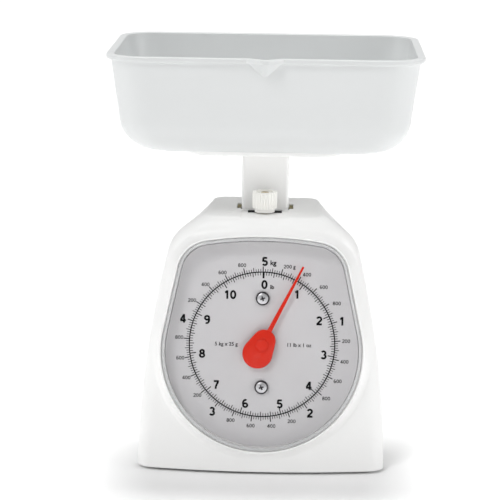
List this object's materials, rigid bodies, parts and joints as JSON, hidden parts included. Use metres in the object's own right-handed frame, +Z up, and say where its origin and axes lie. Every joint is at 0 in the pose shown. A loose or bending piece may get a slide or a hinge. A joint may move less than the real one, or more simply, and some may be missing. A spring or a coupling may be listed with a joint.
{
  "type": "platform scale",
  "caption": "Mechanical spring scale with a leaning dial under a clear lens, a red pointer, a zero knob and a lift-off tray on a column.",
  "frame": {"origin": "centre of the bounding box on the table under the feet", "axes": "+Z up along the column, -Y out of the dial towards the reader, +X to the reader's right"},
  "size_m": [0.206, 0.16, 0.2782],
  "materials": {
    "white_plastic": "moulded white plastic, fairly glossy",
    "tray_plastic": "moulded white plastic, soft gloss",
    "ivory_plastic": "moulded ivory plastic",
    "clear_plastic": "clear moulded plastic",
    "dial_print": "light grey paint with black print",
    "pointer_red": "moulded red plastic",
    "bright_screws": "bright plated steel",
    "steel": "zinc plated steel",
    "passivated_steel": "olive passivated sheet steel",
    "brass": "turned brass",
    "foot_rubber": "dark rubber"
  },
  "bodies": {
    "housing": {"body_shell": "white_plastic", "base_plate": "white_plastic", "foot_front_left": "foot_rubber", "foot_front_right": "foot_rubber", "foot_back_left": "foot_rubber", "foot_back_right": "foot_rubber", "base_screw_front_left": "steel", "base_screw_front_right": "steel", "base_screw_back_left": "steel", "base_screw_back_right": "steel", "chassis_screw_front_left": "steel", "chassis_screw_front_right": "steel", "chassis_screw_back_left": "steel", "chassis_screw_back_right": "steel", "chassis": "passivated_steel", "lens": "clear_plastic", "dial_plate": "dial_print", "dial_screw_upper": "bright_screws", "dial_screw_lower": "bright_screws", "spindle_bush": "brass", "spindle_bridge": "passivated_steel", "bridge_screw_left": "steel", "bridge_screw_right": "steel", "upper_lever_fixed_pin": "steel", "lower_lever_fixed_pin": "steel"},
    "carriage": {"column": "white_plastic", "column_bracket": "passivated_steel", "column_screw_left": "steel", "column_screw_right": "steel", "rack": "brass", "rack_screw": "steel", "platform": "white_plastic", "platform_screw_left": "steel", "platform_screw_right": "steel", "upper_lever_moving_pin": "steel", "lower_lever_moving_pin": "steel"},
    "indicator": {"pointer": "pointer_red", "spindle": "steel"},
    "upper_guide": {"upper_lever": "passivated_steel"},
    "lower_guide": {"lower_lever": "passivated_steel"},
    "zero_adjuster": {"zero_knob": "ivory_plastic", "zero_screw": "brass"},
    "hanger": {"spring_hanger": "steel", "main_spring_left": "steel", "main_spring_right": "steel"},
    "pan": {"tray": "tray_plastic"}
  },
  "joints": [
    {"name": "platform_slide", "type": "slide", "parent": "housing", "child": "carriage", "axis": [0, 0, -1], "range_m": [-0.00118, 0.01464], "stiffness_N_per_m": 3099, "springref_m": -0.00203, "deforming": ["main_spring_left", "main_spring_right"]},
    {"name": "pointer_turn", "type": "hinge", "parent": "housing", "child": "indicator", "pos_m": [0, -0.04466, 0.0846], "axis": [0, 0.9925, -0.1219], "range_deg": [-26.95, 333.2]},
    {"name": "upper_lever_swing", "type": "hinge", "parent": "housing", "child": "upper_guide", "pos_m": [0, 0.027, 0.106], "axis": [1, 0, 0], "range_deg": [-2.4, 28.3]},
    {"name": "lower_lever_swing", "type": "hinge", "parent": "housing", "child": "lower_guide", "pos_m": [0, 0.027, 0.036], "axis": [1, 0, 0], "range_deg": [-2.4, 28.3]},
    {"name": "zero_knob_turn", "type": "hinge", "parent": "housing", "child": "zero_adjuster", "pos_m": [0, -0.017, 0.176], "axis": [0, 0, 1], "range_deg": [-720, 720]},
    {"name": "hanger_slide", "type": "slide", "parent": "housing", "child": "hanger", "axis": [0, 0, 1], "range_m": [-0.0016, 0.0016]},
    {"name": "tray_lift", "type": "slide", "parent": "carriage", "child": "pan", "axis": [0, 0, 1], "range_m": [0, 0.08]}
  ],
  "couplings": [
    {"joint": "pointer_turn", "follows": "platform_slide", "rad_per_m": 397.02},
    {"joint": "upper_lever_swing", "follows": "platform_slide", "rad_per_m": 33.6},
    {"joint": "lower_lever_swing", "follows": "platform_slide", "rad_per_m": 33.6},
    {"joint": "zero_knob_turn", "follows": "hanger_slide", "rad_per_m": -7854}
  ]
}
